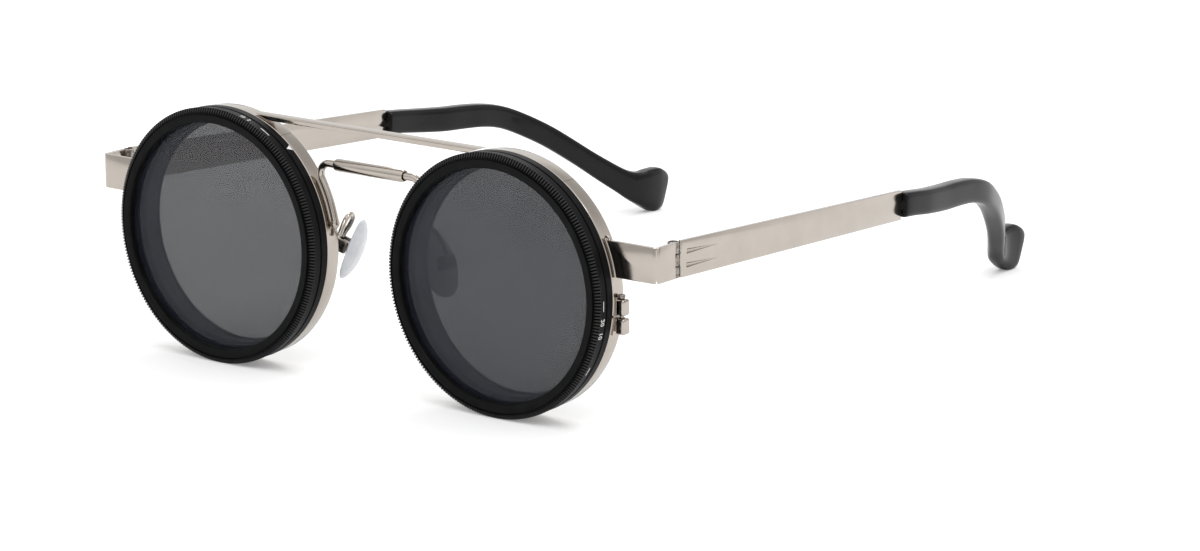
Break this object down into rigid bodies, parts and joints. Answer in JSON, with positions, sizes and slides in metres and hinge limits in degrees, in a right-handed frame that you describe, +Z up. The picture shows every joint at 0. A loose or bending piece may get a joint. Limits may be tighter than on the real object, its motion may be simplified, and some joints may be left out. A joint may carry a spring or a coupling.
{
  "type": "sunglasses",
  "caption": "Round metal sunglasses with a black toothed turning filter ring before each silver rim, a top bar over the bridge, soft nose pads and flat folding temples with curved black tips.",
  "frame": {"origin": "middle of the footprint, at the lowest point of the front rings and the temple tips", "axes": "+Z up; the front faces -Y; the wearer's left is +X; the open temples run towards +Y"},
  "size_m": [0.1388, 0.16, 0.0508],
  "materials": {
    "silver": "polished",
    "black_metal": "satin",
    "dark_steel": "satin",
    "gloss_black": "gloss",
    "grey_glass": "polished",
    "clear_silicone": "satin"
  },
  "bodies": {
    "front": {"top_bar": "silver", "bridge_wire": "silver", "bridge_sleeve": "silver", "rim_left": "silver", "closing_screw_left": "dark_steel", "base_ring_left": "black_metal", "keeper_ring_left": "dark_steel", "rear_lens_left": "grey_glass", "rear_retainer_left": "black_metal", "endpiece_left": "silver", "hinge_screw_left": "dark_steel", "pad_arm_left": "silver", "pad_box_left": "dark_steel", "pad_screw_left": "dark_steel", "rim_right": "silver", "closing_screw_right": "dark_steel", "base_ring_right": "black_metal", "keeper_ring_right": "dark_steel", "rear_lens_right": "grey_glass", "rear_retainer_right": "black_metal", "endpiece_right": "silver", "hinge_screw_right": "dark_steel", "pad_arm_right": "silver", "pad_box_right": "dark_steel", "pad_screw_right": "dark_steel"},
    "filter_left": {"front_ring_left": "black_metal", "front_lens_left": "grey_glass", "front_retainer_left": "black_metal"},
    "filter_right": {"front_ring_right": "black_metal", "front_lens_right": "grey_glass", "front_retainer_right": "black_metal"},
    "temple_left": {"temple_blade_left": "silver", "temple_tip_left": "gloss_black"},
    "temple_right": {"temple_blade_right": "silver", "temple_tip_right": "gloss_black"},
    "pad_left": {"nose_pad_left": "clear_silicone"},
    "pad_right": {"nose_pad_right": "clear_silicone"}
  },
  "joints": [
    {"name": "temple_fold_left", "type": "hinge", "parent": "front", "child": "temple_left", "pos_m": [0.0683, -0.06799, 0.0331], "axis": [0, 0, 1], "range_deg": [0, 82]},
    {"name": "temple_fold_right", "type": "hinge", "parent": "front", "child": "temple_right", "pos_m": [-0.0683, -0.06799, 0.0331], "axis": [0, 0, -1], "range_deg": [0, 69]},
    {"name": "filter_turn_left", "type": "hinge", "parent": "front", "child": "filter_left", "pos_m": [0.0347, -0.07999, 0.0254], "axis": [0, -1, 0], "range_deg": [0, 95]},
    {"name": "filter_turn_right", "type": "hinge", "parent": "front", "child": "filter_right", "pos_m": [-0.0347, -0.07999, 0.0254], "axis": [0, -1, 0], "range_deg": [0, 95]},
    {"name": "pad_rock_left", "type": "hinge", "parent": "front", "child": "pad_left", "pos_m": [0.01275, -0.06662, 0.02408], "axis": [-0.2588, -0.9659, 0], "range_deg": [-8, 8]},
    {"name": "pad_rock_right", "type": "hinge", "parent": "front", "child": "pad_right", "pos_m": [-0.01275, -0.06662, 0.02408], "axis": [-0.2588, 0.9659, 0], "range_deg": [-8, 8]}
  ]
}
